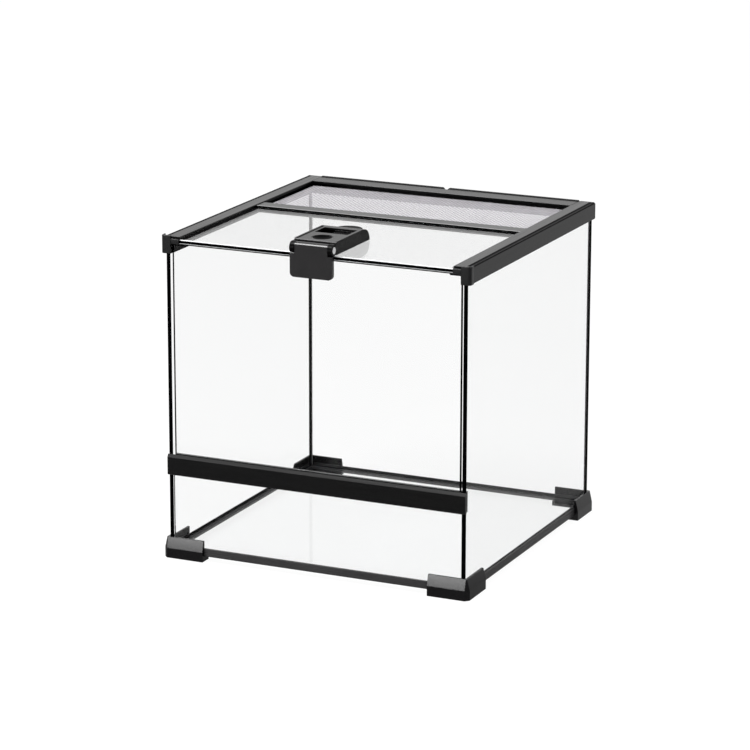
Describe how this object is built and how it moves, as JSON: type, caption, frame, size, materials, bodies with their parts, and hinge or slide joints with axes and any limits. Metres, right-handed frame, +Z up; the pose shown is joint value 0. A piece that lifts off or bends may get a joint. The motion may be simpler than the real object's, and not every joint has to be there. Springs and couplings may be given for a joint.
{
  "type": "glass reptile terrarium",
  "caption": "Cube-shaped glass terrarium with black edge profiles, corner feet, a gauze vent in the roof and a tilting front door held by a hinged latch flap.",
  "frame": {"origin": "centre of the bounding box's underside, on the ground between the four foot pads", "axes": "+X to the right along the front, +Y from the front to the back, +Z up"},
  "size_m": [0.31, 0.3134, 0.3176],
  "materials": {
    "strip_plastic": "satin black extrusion",
    "foot_plastic": "satin black moulding",
    "bar_plastic": "satin black extrusion",
    "rail_plastic": "satin black extrusion",
    "cap_plastic": "satin black moulding",
    "latch_plastic": "fine grained black moulding",
    "flap_plastic": "fine grained black moulding",
    "button_plastic": "polished black moulding",
    "slide_plastic": "fine grained black moulding",
    "soft_rubber": "soft black rubber",
    "seal_silicone": "smooth black silicone",
    "gauze_metal": "fine woven metal gauze",
    "pin_steel": "bright turned steel",
    "pane_glass": "clear float glass with polished edges"
  },
  "bodies": {
    "case": {"base_strip_front": "strip_plastic", "base_strip_rear": "strip_plastic", "base_strip_left": "strip_plastic", "base_strip_right": "strip_plastic", "foot_front_left": "foot_plastic", "foot_front_right": "foot_plastic", "foot_rear_left": "foot_plastic", "foot_rear_right": "foot_plastic", "foot_pads": "soft_rubber", "floor_pane": "pane_glass", "side_pane_left": "pane_glass", "side_pane_right": "pane_glass", "rear_pane": "pane_glass", "lower_front_pane": "pane_glass", "front_bar": "bar_plastic", "top_rail_left": "rail_plastic", "top_rail_right": "rail_plastic", "top_rail_rear": "rail_plastic", "cross_bar": "rail_plastic", "rail_cap_front_left": "cap_plastic", "rail_cap_front_right": "cap_plastic", "rail_cap_rear_left": "cap_plastic", "rail_cap_rear_right": "cap_plastic", "gauze_panel": "gauze_metal", "gauze_frame": "rail_plastic", "top_pane": "pane_glass", "seam_rear_left": "seal_silicone", "seam_rear_right": "seal_silicone", "latch_body": "latch_plastic", "latch_deck": "latch_plastic", "latch_glue": "soft_rubber", "latch_screws": "pin_steel", "hinge_pin": "pin_steel", "button_spring": "pin_steel"},
    "door": {"door_pane": "pane_glass"},
    "flap": {"latch_flap": "flap_plastic", "flap_buffer": "soft_rubber"},
    "button": {"release_button": "button_plastic"},
    "lock": {"lock_slide": "slide_plastic"}
  },
  "joints": [
    {"name": "flap_hinge", "type": "hinge", "parent": "case", "child": "flap", "pos_m": [0, -0.15145, 0.3106], "axis": [-1, 0, 0], "range_deg": [0, 178]},
    {"name": "door_tilt", "type": "hinge", "parent": "case", "child": "door", "pos_m": [0, -0.14825, 0.098], "axis": [1, 0, 0], "range_deg": [0, 15]},
    {"name": "button_press", "type": "slide", "parent": "case", "child": "button", "axis": [0, 0, 1], "range_m": [-0.002, 0], "stiffness_N_per_m": 500, "springref_m": 0.0015, "deforming": ["button_spring"]},
    {"name": "lock_push", "type": "slide", "parent": "case", "child": "lock", "axis": [0, 1, 0], "range_m": [-0.0032, 0]}
  ],
  "couplings": [
    {"joint": "door_tilt", "follows": "flap_hinge", "ratio": 0.071429}
  ]
}
